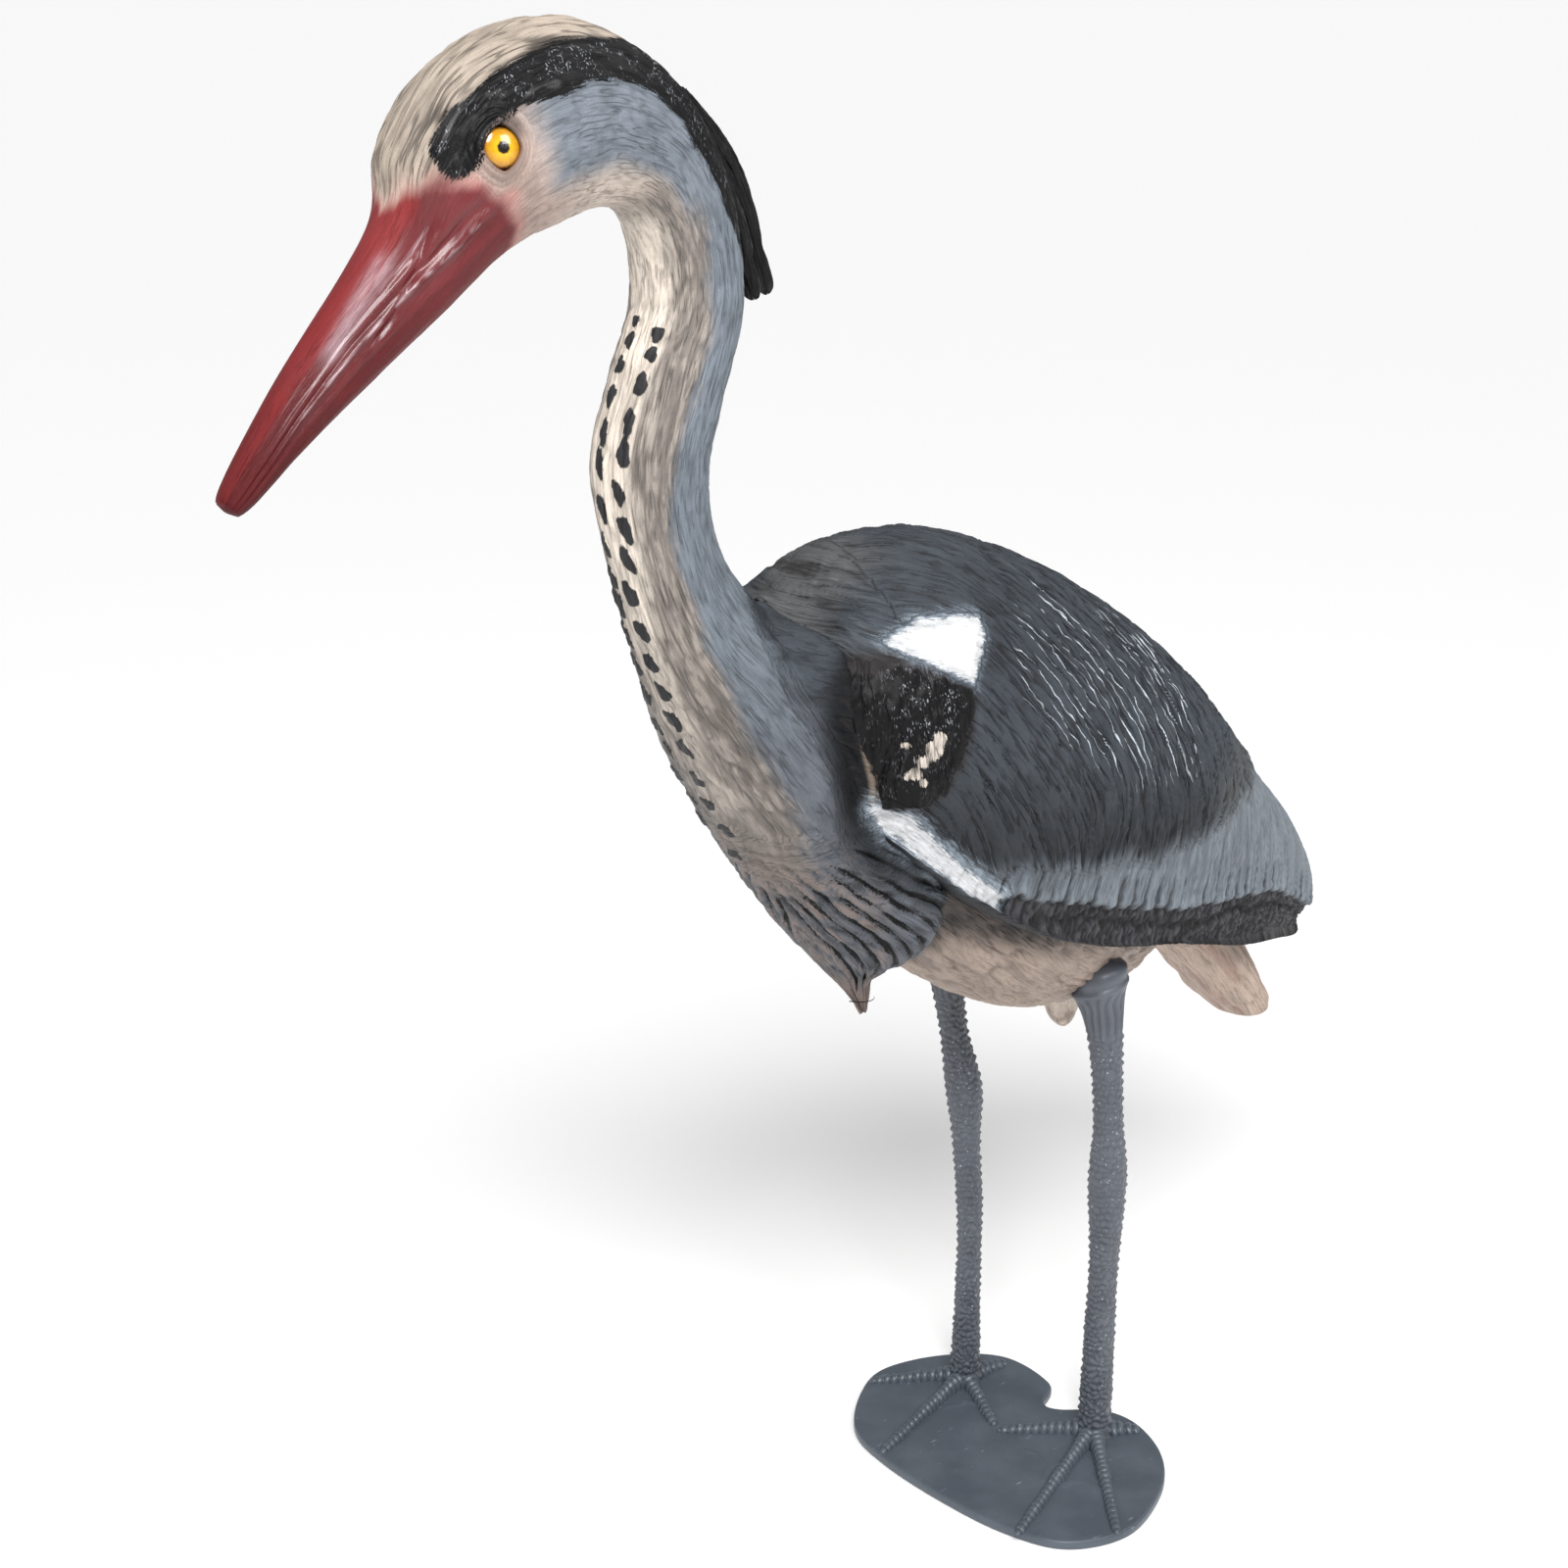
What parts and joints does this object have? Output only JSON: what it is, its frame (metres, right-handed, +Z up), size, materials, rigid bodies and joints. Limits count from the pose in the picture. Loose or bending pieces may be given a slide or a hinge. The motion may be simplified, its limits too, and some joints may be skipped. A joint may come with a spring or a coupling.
{
  "type": "heron decoy",
  "caption": "Life-like standing heron decoy for a garden or pond edge, with folded wings, an S-shaped neck and a bill pointing down, on legs moulded in one with a flat footed base.",
  "frame": {"origin": "on the underside of the base plate, under the middle plane of the bird's body, between the two feet", "axes": "+Z up, -Y the way the bird faces, +X the bird's left side; the body is symmetric about X = 0"},
  "size_m": [0.2002, 0.7096, 0.7466],
  "materials": {
    "body": "hand-painted moulded plastic: slate wings, blue-grey and cream neck, black stripe and patches, dull red bill",
    "eye_left": "glossy amber plastic with a dark pupil",
    "eye_right": "glossy amber plastic with a dark pupil",
    "stand": "satin slate-grey moulded plastic"
  },
  "bodies": {
    "root": {"body": "body", "eye_left": "eye_left", "eye_right": "eye_right", "stand": "stand"}
  },
  "joints": []
}
